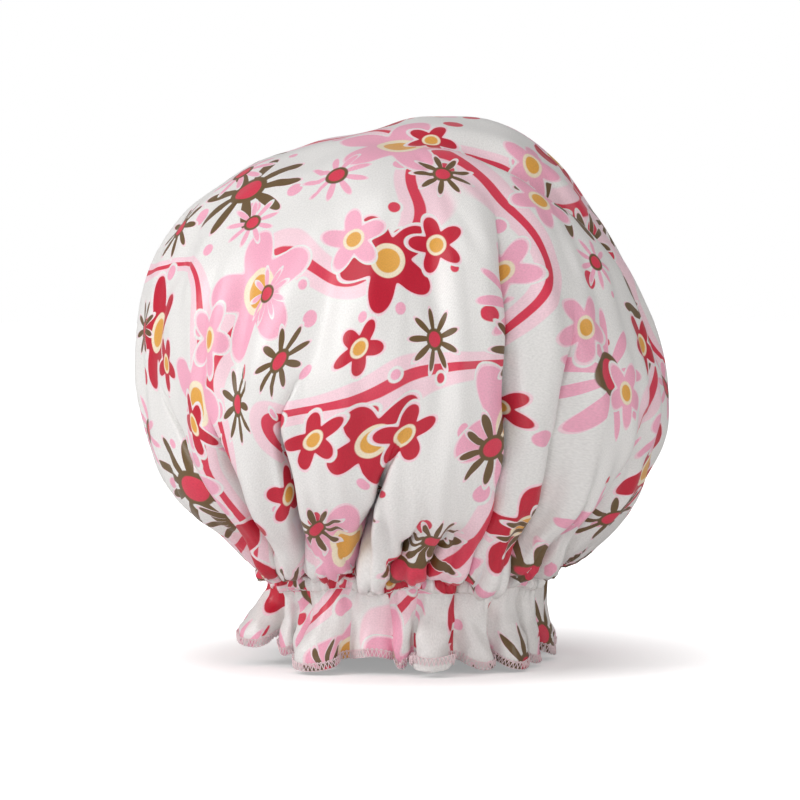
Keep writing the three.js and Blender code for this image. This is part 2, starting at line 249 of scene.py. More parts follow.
def pleated(column_width):
    """Sink and sideways push of the cloth beside the folds at both sides of its lobe."""
    near_x = column_width * column_share
    far_x = column_width * (1 - column_share)
    width = np.minimum(FOLD_WIDTH, FOLD_SHARE * column_width)
    near = np.exp(-near_x / width) * ease(1 - column_share, 0, 0.5)
    far = np.exp(-far_x / width) * ease(column_share, 0, 0.5)
    sink = fold_depths[column_lobe].T * near + fold_depths[next_fold].T * far
    slit = np.minimum(SLIT_WIDTH, SLIT_SHARE * column_width)
    sink += fold_slits[column_lobe].T * np.exp(-near_x / slit)
    sink += fold_slits[next_fold].T * np.exp(-far_x / slit)
    near_lap, far_lap = fold_laps[column_lobe].T, fold_laps[next_fold].T
    push = -LAP_PULL * (near_lap * near**2 + far_lap * far**2)
    push += LAP_COVER * np.maximum(far_lap, 0) * far * (1 - far)
    push += LAP_COVER * np.minimum(near_lap, 0) * near * (1 - near)
    return sink, push


fold_azimuths, fold_depths, fold_laps, fold_slits = fold_rows(latitudes)
print(f"pleats: up to {fold_depths.max():.1f} mm deep, slits up to {fold_slits.max():.1f} mm more")

# %% [markdown]
# Crown. Every point of the grid starts on the dome and moves along the dome's normal: out by the
# bulges, in by the pleats, and out again low down, where the puffed cloth between the folds hangs
# over the elastic. At both sides of the cap the cloth is taut and hangs less.

# %% Crown of the satin
OVERHANG, OVERHANG_LATITUDE, OVERHANG_SPREAD, OVERHANG_VARIES = 7.8, -52.5, 6.5, 0.22
TAUT_AZIMUTH, TAUT_SPREAD, TAUT_LEFT, TAUT_RIGHT = 88.0, 30.0, 0.9, 0.68


def unit(vectors):
    """Vectors of length 1 in the same directions."""
    return vectors / np.maximum(np.linalg.norm(vectors, axis=-1, keepdims=True), 1e-9)


def directions(azimuth):
    """Outward and sideways horizontal directions at each azimuth."""
    angle = np.radians(azimuth)
    flat = np.zeros_like(angle)
    outward = np.stack([np.sin(angle), -np.cos(angle), flat], -1)
    sideways = np.stack([np.cos(angle), np.sin(angle), flat], -1)
    return outward, sideways


def apart(azimuth, other):
    """Degrees between two azimuths, the short way round."""
    return np.abs((azimuth - other + 180) % 360 - 180)


def overhang(azimuth, latitude, outward):
    """How far the puffed cloth between the folds hangs out over the elastic."""
    varied = 1 + OVERHANG_VARIES * np.sin(column_lobe * 2.1 + 5.6)
    hangs = OVERHANG * varied * np.sin(np.pi * column_share)
    drawn_flat = np.where(outward[..., 0] < 0, TAUT_LEFT, TAUT_RIGHT)
    hangs = hangs * (1 - drawn_flat * bell(apart(azimuth, 0), TAUT_AZIMUTH, TAUT_SPREAD))
    low = bell(latitude, OVERHANG_LATITUDE, OVERHANG_SPREAD)
    return hangs * low * ease(latitude, NECK_LATITUDE, NECK_LATITUDE + 4)


def crown_points(inset):
    """Points of the crown in millimetres, a row for each latitude, and their azimuths."""
    left, right = fold_azimuths[column_lobe].T, fold_azimuths[next_fold].T + turn
    azimuth = left + (right - left) * column_share
    latitude = np.repeat(latitudes[:, None], len(column_lobe), 1)
    level, span = np.sin(np.radians(latitude)), np.cos(np.radians(latitude))
    vertical = np.where(latitude > 0, CROWN_RISE, CROWN_UNDER)
    ring = CROWN_RADIUS * np.maximum(span, 1e-4)
    sink, push = pleated(np.radians(right - left) * ring)
    azimuth = azimuth + np.degrees(push / np.maximum(ring, 8.0))
    outward, _ = directions(azimuth)
    point = outward * ring[..., None]
    point[..., 2] = WIDEST_HEIGHT + vertical * level
    normal = outward * (span / CROWN_RADIUS)[..., None]
    normal[..., 2] = np.where(latitude <= NECK_LATITUDE, 0, level / vertical)
    proud = unevenness(azimuth, latitude, point) - sink - inset
    proud += overhang(azimuth, latitude, outward)
    return point + unit(normal) * proud[..., None], azimuth


crown, crown_azimuth = crown_points(0)
print(f"crown: {np.ptp(crown[..., 0]):.0f} mm wide, top at {crown[..., 2].max():.0f} mm")

# %% [markdown]
# Channel. Below the crown the satin runs over the elastic, drawn in by a row of stitching above and
# one below. Cloth gathered so tightly stands in fine irregular puckers, and its line strays a little
# up and down. Sines of several beats are enough for both, and they close round the cap by themselves.

# %% Channel of the satin
STITCH_RADIUS, CHANNEL_RADIUS = 51.75, 53.0
LOWER_STITCH, UPPER_STITCH = 30.5, 36.3
PUCKER_DEPTH, PUCKERS_WIDE, PUCKERS_FINE, PUCKER_ROUNDNESS = 2.1, 23, 44, 0.7
WOBBLE = 1.8

gather_left, gather_right = gathers[column_lobe], gathers[next_fold] + turn
gather_azimuth = gather_left + (gather_right - gather_left) * column_share
neck_valley = np.exp(-column_share / 0.22) + np.exp(-(1 - column_share) / 0.22)
neck_pucker = NECK_PUCKER * (1 - np.clip(neck_valley, 0, 1))


def puckers(azimuth):
    """Fine irregular gathers round the elastic, from -0.5 in their valleys to 1.5."""
    turned = np.radians(azimuth)
    wide = np.abs(np.sin(PUCKERS_WIDE * turned + 1.4 * np.sin(7 * turned))) ** PUCKER_ROUNDNESS
    fine = np.abs(np.sin(PUCKERS_FINE * turned + 1.1 * np.sin(5 * turned + 1))) ** PUCKER_ROUNDNESS
    return 0.9 * wide + 1.1 * fine - 0.5


def wobble(azimuth):
    """How far the gathered line strays up and down round the cap, in millimetres."""
    turned = np.radians(azimuth)
    strays = np.sin(4 * turned + 2.2) + np.sin(9 * turned + 0.6) + np.sin(15 * turned + 1.7)
    return WOBBLE * strays / 2


def channel_points():
    """The satin over the elastic, rounded between the two rows of stitching."""
    rows = []
    outward, _ = directions(gather_azimuth)
    puckered = STITCH_RADIUS + neck_pucker + PUCKER_DEPTH * puckers(gather_azimuth)
    for step in range(1, CHANNEL_ROWS + 1):
        down = step / CHANNEL_ROWS
        round_out = (CHANNEL_RADIUS - STITCH_RADIUS) * math.sin(math.pi * down) ** 0.7
        row = outward * (puckered + round_out)[:, None]
        row[:, 2] = UPPER_STITCH + (LOWER_STITCH - UPPER_STITCH) * down + wobble(gather_azimuth)
        rows.append(row)
    return np.array(rows)


channel = channel_points()
print(f"channel: {len(channel)} rows, {np.ptp(channel[..., 0]):.0f} mm across")

# %% [markdown]
# Frill. Below the lower stitching the satin opens into the frill. The hem of the circle is several
# times longer than the elastic, so it stands in ruffles. A plain sine wave would make them pointed,
# so a sine-generated curve gives their cross-section, one whose direction swings to and fro like a
# river's: round, even in length and rolled back at the sides once it swings past a right angle. One
# ruffle in front has its hem turned up, so its pale wrong side shows.

# %% Frill of the satin
RUFFLE_SWING, RUFFLE_STEPS, CREST_SHARE = math.radians(98), 200, 0.6
RUFFLE_FOOT, RUFFLE_LEAN = 47.0, 0.36
FLUTE_RISE, HEM_HEIGHT = 4.5, 0.9
HEM_LIFT, HEM_LIFT_AZIMUTH, HEM_LIFT_SPREAD = 11.0, -92.0, 27.0
TURNED_RUFFLE, TURN_FROM, TURN_OUT = 6, 0.83, 2.0

hem_azimuths, ruffle_swell, hem_raise = np.array([fold[4:] for fold in folds], float).T
hem_left, hem_right = hem_azimuths[column_lobe], hem_azimuths[next_fold] + turn


def hem_heights(azimuth):
    """Height of the hem over the floor: lower on the ruffles' crests, and lifted at the left."""
    lifted = HEM_LIFT * bell(apart(azimuth, HEM_LIFT_AZIMUTH), 0, HEM_LIFT_SPREAD)
    in_fold = (1 + np.cos(2 * np.pi * column_share)) / 2
    return HEM_HEIGHT + lifted + (hem_raise[column_lobe] * (1 - in_fold) + FLUTE_RISE * in_fold)


def ruffled(swing):
    """Sideways share and height, in ruffle widths, of each column for each lobe's swing."""
    fine = np.linspace(0, 1, RUFFLE_STEPS + 1)
    along = fine + CREST_SHARE * np.sin(2 * np.pi * fine) / (2 * np.pi)
    sideways, height = np.zeros(len(column_lobe)), np.zeros(len(column_lobe))
    for lobe in range(len(folds)):
        angle = swing[lobe] * np.sin(2 * np.pi * along)
        heading = np.stack([np.cos(angle), np.sin(angle)])
        walked = np.cumsum((heading[:, 1:] + heading[:, :-1]) / 2, 1)
        across, up = np.concatenate([np.zeros((2, 1)), walked], 1)
        here = column_lobe == lobe
        sideways[here] = np.interp(column_share[here], fine, across / across[-1])
        height[here] = np.interp(column_share[here], fine, (up - up[-1] * fine) / across[-1])
    return sideways, height


def frill_points():
    """The frill from the lower stitching to the hem."""
    rows = []
    lean = RUFFLE_LEAN * np.sin(column_lobe * 1.9 + 0.5)
    gathered = PUCKER_DEPTH * puckers(gather_azimuth)
    lower = LOWER_STITCH + wobble(gather_azimuth)
    turned = ease(0.5 - np.abs(column_share - 0.5), 0.1, 0.32) * (column_lobe == TURNED_RUFFLE)
    for step in range(1, FRILL_ROWS + 1):
        down = step / FRILL_ROWS
        open_share = ease(down, -0.6, 0.8)
        sideways, height = ruffled(RUFFLE_SWING * ruffle_swell * ease(down, -0.5, 0.85))
        left = gather_left + (hem_left - gather_left) * open_share
        right = gather_right + (hem_right - gather_right) * open_share
        width = np.radians(right - left) * RUFFLE_FOOT
        azimuth = left + (right - left) * (sideways + lean * height * open_share)
        top = STITCH_RADIUS + neck_pucker + gathered * (1 - ease(down, 0, 0.5))
        radius = top + (RUFFLE_FOOT + width * height - top) * open_share
        fall = down + turned * (np.minimum(down / TURN_FROM, 2 - down / TURN_FROM) - down)
        upturn = turned * ease(down, TURN_FROM - 0.04, TURN_FROM + 0.08)
        outward, _ = directions(azimuth)
        row = outward * (radius + TURN_OUT * upturn)[:, None]
        row[:, 2] = np.maximum(lower + (hem_heights(azimuth) - lower) * fall, HEM_HEIGHT)
        rows.append(row)
    return np.array(rows)


satin = np.concatenate([crown, channel, frill_points()])
hem = satin[-1, :, 2]
print(f"satin: {len(satin)} rows, hem from {hem.min():.1f} to {hem.max():.1f} mm")

# %% [markdown]
# Wrinkles of the crown. Cloth is never as smooth as a formula. A cloth simulation could wrinkle it,
# but it hardly moves a sheet that is drawn in this tightly, so soft noise does it: broad swells,
# an upright drape, slanting creases, and long narrow wrinkles that run up from the elastic and die
# out. The noise is Blender's own and has no random state, so each run gives the same cloth.

# %% Wrinkles of the crown
WRINKLE_TOP, WRINKLE_DEPTH = -4.0, 2.8
SWELL_DEPTH, DRAPE_DEPTH = 1.8, 3.6
CREASE_DEPTH, CREASE_SLANT, CREASE_WIDTH = 1.6, 0.35, 0.16
CYLINDER_RADIUS = 60.0
# scale in millimetres for each axis, and seed
BROAD_SWELL, SMALL_SWELL = ((38, 38, 46), 3.1), ((17, 17, 26), 8.7)
BROAD_DRAPE, FINE_DRAPE = ((9, 9, 42), 2.7), ((5, 5, 24), 6.1)
CREASES, CREASED_PLACES = ((14, 14, 46), 4.4), ((34, 34, 40), 7.7)
FINE_WRINKLES, LONG_WRINKLES = ((3.6, 3.6, 26), 5.3), ((7.5, 7.5, 34), 1.9)


def row_noise(points, scale, seed):
    """Noise of one value a point, at a scale in millimetres for each axis."""
    shifted = points / np.array(scale) + seed
    return np.array([noise.noise(Vector(p)) for p in shifted.reshape(-1, 3)]).reshape(points.shape[:2])


def face_normals(grid):
    """Outward normals of a grid of points that closes round its columns."""
    across = np.roll(grid, -1, 1) - np.roll(grid, 1, 1)
    return unit(np.cross(np.gradient(grid, axis=0), across))


def on_cylinder(azimuth, latitude):
    """Places on an upright cylinder, where noise runs along the cloth's upright lines."""
    outward, _ = directions(azimuth)
    places = outward * (CYLINDER_RADIUS, -CYLINDER_RADIUS, 0)
    places[..., 2] = latitude
    return places


def wrinkled(grid):
    """The crown's grid, moved along its normals by swells, creases and wrinkles above the elastic."""
    normal = face_normals(grid)
    normal[0] = (0, 0, 1)
    azimuth, latitude = crown_azimuth, np.repeat(latitudes[:, None], grid.shape[1], 1)
    swell = SWELL_DEPTH * row_noise(grid, *BROAD_SWELL)
    swell += 0.7 * SWELL_DEPTH * row_noise(grid, *SMALL_SWELL)
    upright = on_cylinder(azimuth, latitude)
    drape = row_noise(upright, *BROAD_DRAPE) + 0.5 * row_noise(upright, *FINE_DRAPE)
    swell += DRAPE_DEPTH * drape * ease(60 - latitude, 0, 45)
    slanted = on_cylinder(azimuth + CREASE_SLANT * latitude, latitude)
    crease = bell(row_noise(slanted, *CREASES), 0, CREASE_WIDTH)
    creased = ease(row_noise(grid, *CREASED_PLACES), -0.15, 0.3) * ease(70 - latitude, 0, 30)
    swell -= CREASE_DEPTH * crease * creased
    wrinkle = row_noise(upright, *FINE_WRINKLES) + 0.7 * row_noise(upright, *LONG_WRINKLES)
    near_elastic = ease(WRINKLE_TOP - latitude, 0, 45)
    near_elastic *= ease(latitude, NECK_LATITUDE - 3, NECK_LATITUDE + 6)
    calm = ease(latitude, NECK_LATITUDE, NECK_LATITUDE + 20)
    gather = PUCKER_DEPTH * puckers(azimuth) * (1 - ease(latitude, NECK_LATITUDE, NECK_LATITUDE + 22))
    moved = swell * calm + WRINKLE_DEPTH * wrinkle * near_elastic + gather
    strays = wobble(azimuth) * (1 - ease(latitude, NECK_LATITUDE, NECK_LATITUDE + 16))
    return grid + normal * moved[..., None] + strays[..., None] * np.array([0, 0, 1.0])


satin[: CROWN_ROWS + 1] = wrinkled(crown)
satin[0] = satin[0].mean(0)
print(f"wrinkles: crown now {np.ptp(satin[: CROWN_ROWS + 1, :, 0]):.0f} mm wide")

# %% [markdown]
# Dents of the frill. The frill stands free, so it is crumpled as well. The same noise dents it along
# its normals, not at all at the stitching, which holds the cloth still, and fully from less than
# halfway down. No point of it sinks below the level on which the hem rests.

# %% Dents of the frill
CRUMPLE_DEPTH = 1.8
BROAD_DENTS, SMALL_DENTS = ((8, 8, 13), 9.3), ((4, 4, 7), 2.2)


def crumpled(grid):
    """The frill's grid, moved along its normals by dents that grow from the stitching down."""
    dents = row_noise(grid, *BROAD_DENTS) + 0.5 * row_noise(grid, *SMALL_DENTS)
    grown = ease(np.linspace(0, 1, len(grid)), 0, 0.4)[:, None]
    moved = grid + face_normals(grid) * (CRUMPLE_DEPTH * dents * grown)[..., None]
    moved[..., 2] = np.maximum(moved[..., 2], HEM_HEIGHT)
    return moved


frill_start = CROWN_ROWS + CHANNEL_ROWS
dented = crumpled(satin[frill_start:])
print(f"dents: up to {np.linalg.norm(dented - satin[frill_start:], axis=-1).max():.1f} mm deep")
satin[frill_start:] = dented

# %% [markdown]
# Cloth coordinates. The print was on the circle before it was gathered, so it must follow the cloth
# and not the camera. Each point's place on the flat circle is its length of cloth from the top and
# an angle. Along a row, the angle grows by the true length of the cloth on the lobes, and the cloth
# that the elastic draws together disappears at the bottom of each fold, as it does on the real cap.
# Above a fold's end the cloth is eased in instead, so there the print runs on unbroken.

# %% Cloth coordinates
def fold_shares():
    """How far each fold has opened at each row, from 0 above its end to 1 in the frill."""
    opened = np.array([ease(fold[1] - latitudes, 0, FOLD_FADE) for fold in folds]).T
    return np.concatenate([opened, np.ones((CHANNEL_ROWS + FRILL_ROWS, len(folds)))])


def cloth_places(grid):
    """Flat place of each point on the cut circle, in metres."""
    opened = fold_shares()
    steps = np.linalg.norm(np.diff(grid, axis=0), axis=-1)
    meridian = np.concatenate([np.zeros((1, grid.shape[1])), np.cumsum(steps, 0)])
    reach = np.repeat(np.median(meridian, 1)[:, None], grid.shape[1], 1)
    across = np.linalg.norm(np.roll(grid, -1, 1) - grid, axis=-1)
    home = np.radians(crown_azimuth[0])
    starts = np.concatenate([[0], np.cumsum(lobe_columns)[:-1]])
    angle = np.zeros_like(reach)
    for lobe, start in enumerate(starts):
        count = lobe_columns[lobe]
        walked = np.cumsum(across[:, start : start + count], 1)
        total = walked[:, -1:]
        share = (walked - across[:, start : start + count]) / np.maximum(total, 1e-9)
        first, last = home[start], home[(start + count) % grid.shape[1]]
        if start + count == grid.shape[1]:
            last += 2 * np.pi
        cloth = np.maximum(reach[:, start : start + 1], 1e-3) * (last - first)
        spare = (1 - np.minimum(1.0, total / cloth)) * (last - first) / 2
        left = first + spare * opened[:, [lobe]]
        right = last - spare * opened[:, [(lobe + 1) % len(folds)]]
        angle[:, start : start + count] = left + (right - left) * share
    return np.stack([reach * np.sin(angle), -reach * np.cos(angle)], -1) * MM, reach


cloth_uv, cloth_reach = cloth_places(satin)
print(f"cut circle: {2 * cloth_reach[-1].mean():.0f} mm across along the cloth")

# %% [markdown]
# Meshes from grids. A helper turns a grid of points into a mesh that closes round its columns, with
# one point at the top where the rows shrink to a pole, and writes the flat places as its UV map.
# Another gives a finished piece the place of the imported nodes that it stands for.

# %% Mesh helpers
def as_plain_mesh(piece):
    """The mesh that a piece has once its modifiers have run."""
    return bpy.data.meshes.new_from_object(piece.evaluated_get(bpy.context.evaluated_depsgraph_get()))


def grid_mesh(name, grid, flat=None):
    """A smooth mesh of a grid in millimetres whose first row is a pole."""
    rows, columns = grid.shape[:2]
    points = np.concatenate([grid[0, :1], grid[1:].reshape(-1, 3)]) * MM
    index = 1 + np.arange((rows - 1) * columns).reshape(rows - 1, columns)
    after = np.roll(index, -1, 1)
    quads = np.stack([index[:-1], index[1:], after[1:], after[:-1]], -1).reshape(-1, 4)
    cap = np.stack([np.zeros(columns, int), index[0], after[0]], -1)
    mesh = bpy.data.meshes.new(name)
    mesh.from_pydata(points.tolist(), [], cap.tolist() + quads.tolist())
    if flat is not None:
        layer = mesh.uv_layers.new(name="cloth")
        places = np.concatenate([flat[0, :1], flat[1:].reshape(-1, 2)])
        corner = np.zeros(len(mesh.loops), np.int32)
        mesh.loops.foreach_get("vertex_index", corner)
        layer.data.foreach_set("uv", places[corner].astype(np.float32).ravel())
    mesh.shade_smooth()
    return mesh


def placed(piece, slot, *nodes):
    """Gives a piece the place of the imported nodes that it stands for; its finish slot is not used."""
    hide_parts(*nodes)
    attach(piece, "root")
    print(f"{piece.name}: {len(piece.data.polygons)} faces, for {', '.join(nodes)}")


def surface_area(piece):
    return sum(face.area for face in piece.data.polygons)


print("mesh helpers: ready")

# %% [markdown]
# Node code. Every finish is drawn by nodes, and an effect that several finishes share is a node
# group. A small wrapper adds and links nodes in short calls, and a helper starts a group with named
# sockets. The thread on the seams uses both as well.

# %% Node helpers
class Nodes:
    """Short calls for adding and linking nodes."""

    def __init__(self, tree):
        self.tree = tree

    def add(self, kind, **settings):
        node = self.tree.nodes.new(kind)
        for key, value in settings.items():
            setattr(node, key, value)
        return node

    def feed(self, socket, value):
        if isinstance(value, bpy.types.NodeSocket):
            self.tree.links.new(value, socket)
        else:
            socket.default_value = value

    def in_order(self, node, values):
        """The node, with its first inputs fed in order."""
        for socket, value in zip(node.inputs, values):
            self.feed(socket, value)
        return node

    def by_name(self, node, values):
        """The node, with the inputs fed that a dict names."""
        for key, value in values.items():
            self.feed(node.inputs[key], value)
        return node

    def math(self, operation, *values):
        return self.in_order(self.add("ShaderNodeMath", operation=operation), values).outputs[0]

    def vector(self, operation, *values):
        node = self.in_order(self.add("ShaderNodeVectorMath", operation=operation), values)
        return node.outputs["Value" if operation == "LENGTH" else "Vector"]

    def mix(self, share, first, second, kind="RGBA"):
        """A colour, or a value of another kind, between two others."""
        node = self.add("ShaderNodeMix", data_type=kind)
        return self.by_name(node, {"Factor": share, "A": first, "B": second}).outputs["Result"]

    def shaders(self, share, first, second):
        """A shader between two others."""
        return self.in_order(self.add("ShaderNodeMixShader"), (share, first, second)).outputs[0]

    def step(self, value, edge, soft):
        """1 below the edge and 0 above it, with a soft border."""
        node = self.add("ShaderNodeMapRange", interpolation_type="SMOOTHSTEP")
        low, high = self.math("SUBTRACT", edge, soft), self.math("ADD", edge, soft)
        wanted = {"Value": value, "From Min": low, "From Max": high, "To Min": 1, "To Max": 0}
        return self.by_name(node, wanted).outputs["Result"]

    def noise(self, vector, scale, detail=2.0):
        node = self.add("ShaderNodeTexNoise")
        return self.by_name(node, {"Vector": vector, "Scale": scale, "Detail": detail}).outputs["Fac"]


def new_group(kind, name, inputs, outputs):
    """A node group with named sockets: its wrapper, what it is given and what it has to make."""
    tree = bpy.data.node_groups.new(name, kind)
    for in_out, sockets in (("INPUT", inputs), ("OUTPUT", outputs)):
        for socket_name, socket_kind in sockets.items():
            tree.interface.new_socket(socket_name, in_out=in_out, socket_type="NodeSocket" + socket_kind)
    nodes = Nodes(tree)
    return nodes, nodes.add("NodeGroupInput").outputs, nodes.add("NodeGroupOutput").inputs


print("node helpers: ready")

# %% [markdown]
# Motifs of the print. The satin carries an all-over floral in pinks, crimson, brown and gold on
# white. A picture could be mapped onto the cloth, but nodes that draw the print on the cloth's own
# flat coordinates need no picture and stay sharp at any distance. A Voronoi texture gives each motif
# a random centre, and distances and angles round that centre draw its petals.

# %% Motifs
# count of the petals, and how far in the dips between them lie
BROAD_PETALS, NARROW_PETALS = (5.0, 0.62), (9.0, 0.32)


def motif_cells(nodes, place, size, randomness, drift):
    """Distance from a motif's centre in metres, the angle round it, and three random values."""
    cells = nodes.add("ShaderNodeTexVoronoi", voronoi_dimensions="2D", feature="F1")
    moved = nodes.vector("ADD", place, drift)
    nodes.by_name(cells, {"Vector": moved, "Scale": 1 / size, "Randomness": randomness})
    offset = nodes.vector("SUBTRACT", moved, cells.outputs["Position"])
    parts = nodes.in_order(nodes.add("ShaderNodeSeparateXYZ"), [offset]).outputs
    angle = nodes.math("ARCTAN2", parts["Y"], parts["X"])
    chance = nodes.in_order(nodes.add("ShaderNodeSeparateColor"), [cells.outputs["Color"]]).outputs
    return nodes.vector("LENGTH", offset), angle, chance


def petals(nodes, radius, angle, turned, reach, count, waist):
    """Edge distance of a flower: below 0 inside its petals."""
    swing = nodes.math("COSINE", nodes.math("MULTIPLY_ADD", angle, count, turned))
    lobe = nodes.math("MAXIMUM", nodes.math("MULTIPLY_ADD", swing, 1 - waist, waist), 0.001)
    return nodes.math("SUBTRACT", radius, nodes.math("MULTIPLY", nodes.math("POWER", lobe, 0.5), reach))


print(f"motifs: flowers of {BROAD_PETALS[0]:.0f} or {NARROW_PETALS[0]:.0f} petals")

# %% [markdown]
# Layers of the print. The motifs lie over each other: meandering stems first, then small dots, then
# large and small flowers. Each layer is a mask and a colour, mixed over what lies below it. The whole
# is one node group, and its strength fades the print for the wrong side of the cloth.

# %% Floral print
WHITE = (0.83, 0.815, 0.8, 1)
PINK = (0.91, 0.42, 0.56, 1)
PALE_PINK = (0.93, 0.66, 0.73, 1)
CRIMSON = (0.55, 0.002, 0.027, 1)
CORAL = (0.7, 0.034, 0.078, 1)
BROWN = (0.14, 0.08, 0.024, 1)
GOLD = (0.78, 0.38, 0.06, 1)
CREAM = (0.9, 0.78, 0.58, 1)
EDGE = 0.0003
STEM_DRIFT, STEM_SCALE, STEM_BAND, STEM_LINE = (0.15, 0.66, 0), 9.0, 0.03, 0.0085
DOT_CELL, DOT_DRIFT, DOT_SCATTER = 0.021, (0.013, 0.007, 0), 0.75
DOT_RADIUS, DOT_VARIES, DOT_HALO = 0.0012, 0.0026, 0.0012
# large and small flowers: cell size, drift, reach of the petals, share that has broad petals
FLOWERS = [(0.061, (0.93, 0.48, 0), 0.0245, 0.5), (0.037, (0.51, 0.14, 0), 0.0138, 0.42)]
FLOWER_SCATTER, FLOWER_LEAST, FLOWER_VARIES = 0.28, 0.75, 0.35
CUP_SHARE, HEART_SHARE = 0.34, 0.24


def print_colours(nodes, place):
    """The floral's colour over the white ground."""

    def above(value, limit):
        return nodes.math("GREATER_THAN", value, limit)

    # Meandering stems: contour lines of slow noise, a broad pale band with a thin dark line in it
    flow = nodes.noise(nodes.vector("ADD", place, STEM_DRIFT), STEM_SCALE, 1.0)
    from_line = nodes.math("ABSOLUTE", nodes.math("SUBTRACT", flow, 0.5))
    layers = [
        (nodes.step(from_line, STEM_BAND, 0.002), PALE_PINK),
        (nodes.step(from_line, STEM_LINE, 0.001), CORAL),
    ]
    # Small dots and buds between the flowers
    radius, angle, chance = motif_cells(nodes, place, DOT_CELL, DOT_SCATTER, DOT_DRIFT)
    size = nodes.math("MULTIPLY_ADD", chance["Green"], DOT_VARIES, DOT_RADIUS)
    shown = above(chance["Red"], 0.45)
    hue = nodes.mix(above(chance["Blue"], 0.55), PINK, CORAL)
    for edge, tint in ((nodes.math("ADD", size, DOT_HALO), WHITE), (size, hue)):
        layers.append((nodes.math("MULTIPLY", nodes.step(radius, edge, EDGE), shown), tint))
    # Flowers: five broad petals, or a daisy of narrow ones, in two layers of different scale
    for cell, drift, reach, chooser in FLOWERS:
        radius, angle, chance = motif_cells(nodes, place, cell, FLOWER_SCATTER, drift)
        shown = above(chance["Red"], 0.1)
        daisy = above(chance["Blue"], chooser)
        turned = nodes.math("MULTIPLY", chance["Green"], 6.28)
        reached = nodes.math("MULTIPLY_ADD", chance["Green"], FLOWER_VARIES * reach, FLOWER_LEAST * reach)
        broad, narrow = (
            petals(nodes, radius, angle, turned, reached, *shape) for shape in (BROAD_PETALS, NARROW_PETALS)
        )
        edge = nodes.mix(daisy, broad, narrow, "FLOAT")
        broad_hue = nodes.mix(above(chance["Green"], 0.5), CRIMSON, PINK)
        narrow_hue = nodes.mix(above(chance["Red"], 0.4), PINK, BROWN)
        cup, heart = (nodes.math("MULTIPLY", reached, share) for share in (CUP_SHARE, HEART_SHARE))
        for distance, limit, tint in (
            (edge, 0.0016, WHITE),
            (edge, 0.0006, PALE_PINK),
            (edge, -0.0004, nodes.mix(daisy, broad_hue, narrow_hue)),
            (radius, cup, nodes.mix(daisy, CREAM, BROWN)),
            (radius, heart, nodes.mix(daisy, GOLD, CORAL)),
        ):
            layers.append((nodes.math("MULTIPLY", nodes.step(distance, limit, EDGE), shown), tint))
    colour = WHITE
    for mask, tint in layers:
        colour = nodes.mix(mask, colour, tint)
    return colour


nodes, given, made = new_group(
    "ShaderNodeTree", "Floral print", {"Place": "Vector", "Strength": "Float"}, {"Colour": "Color"}
)
drawn = print_colours(nodes, given["Place"])
nodes.feed(made["Colour"], nodes.mix(given["Strength"], WHITE, drawn))
floral_print = nodes.tree
print(f"print: {len(floral_print.nodes)} nodes")

# %% [markdown]
# Satin weave. Satin floats its threads over several others, which leaves fine diagonal lines and a
# soft sheen. The lines are under a millimetre apart, far too fine for geometry, so they are bump in
# the material. The group gives a height and a speckle to the cloth's right and wrong side alike.

# %% Weave
RIB_SLANT, RIB_HEIGHT, RIB_WANDER, WANDER_SCALE = 0.6, 0.2, 9.0, 300.0
SPECKLE_SCALE, SPECKLE_DETAIL = 1500.0, 3.0

nodes, given, made = new_group(
    "ShaderNodeTree",
    "Diagonal weave",
    {"Place": "Vector", "Pitch": "Float"},
    {"Height": "Float", "Speckle": "Float"},
)
parts = nodes.in_order(nodes.add("ShaderNodeSeparateXYZ"), [given["Place"]]).outputs
diagonal = nodes.math("ADD", parts["X"], nodes.math("MULTIPLY", parts["Y"], RIB_SLANT))
phase = nodes.math("DIVIDE", nodes.math("MULTIPLY", diagonal, 2 * math.pi), given["Pitch"])
wander = nodes.math("MULTIPLY", nodes.noise(given["Place"], WANDER_SCALE), RIB_WANDER)
ribs = nodes.math("SINE", nodes.math("ADD", phase, wander))
speckle = nodes.noise(given["Place"], SPECKLE_SCALE, SPECKLE_DETAIL)
nodes.feed(made["Height"], nodes.math("MULTIPLY_ADD", ribs, RIB_HEIGHT, speckle))
nodes.feed(made["Speckle"], speckle)
diagonal_weave = nodes.tree
print(f"weave: {len(diagonal_weave.nodes)} nodes")

# %% [markdown]
# Grain. Thread, braid and film are not even in colour: fibres and stretch marks make them a little
# lighter and darker. One group mixes a light and a dark colour by noise, at a scale of its own for
# each finish, and hands the noise on for roughness and bump.

# %% Grain
nodes, given, made = new_group(
    "ShaderNodeTree",
    "Fine grain",
    {"Place": "Vector", "Scale": "Float", "Light": "Color", "Dark": "Color"},
    {"Colour": "Color", "Grain": "Float"},
)
grain = nodes.noise(given["Place"], given["Scale"], 3.0)
nodes.feed(made["Colour"], nodes.mix(grain, given["Dark"], given["Light"]))
nodes.feed(made["Grain"], grain)
fine_grain = nodes.tree
print(f"grain: {len(fine_grain.nodes)} nodes")

# %% [markdown]
# Satin finish. Satin is a Principled surface of middling roughness with a soft gloss along its
# threads. Its wrong side is duller and shows the print only faintly. Two pieces could carry the two
# sides, but the cloth is a single layer here, so one material shows the side that is looked at.

# %% Satin finish
WEAVE_PITCH, WEAVE_BUMP, WEAVE_DEPTH = 0.0008, 0.25, 0.0002
SPECKLE_SHADE, LEAST_SHADE = 0.36, 0.82
SATIN_GLOSS, SATIN_ANISOTROPY, SHEEN_ROUGHNESS = 0.6, 0.5, 0.4
# strength of the print, lowest and highest roughness, sheen
RIGHT_SIDE, WRONG_SIDE = (1.0, 0.33, 0.47, 0.05), (0.22, 0.5, 0.7, 0.03)


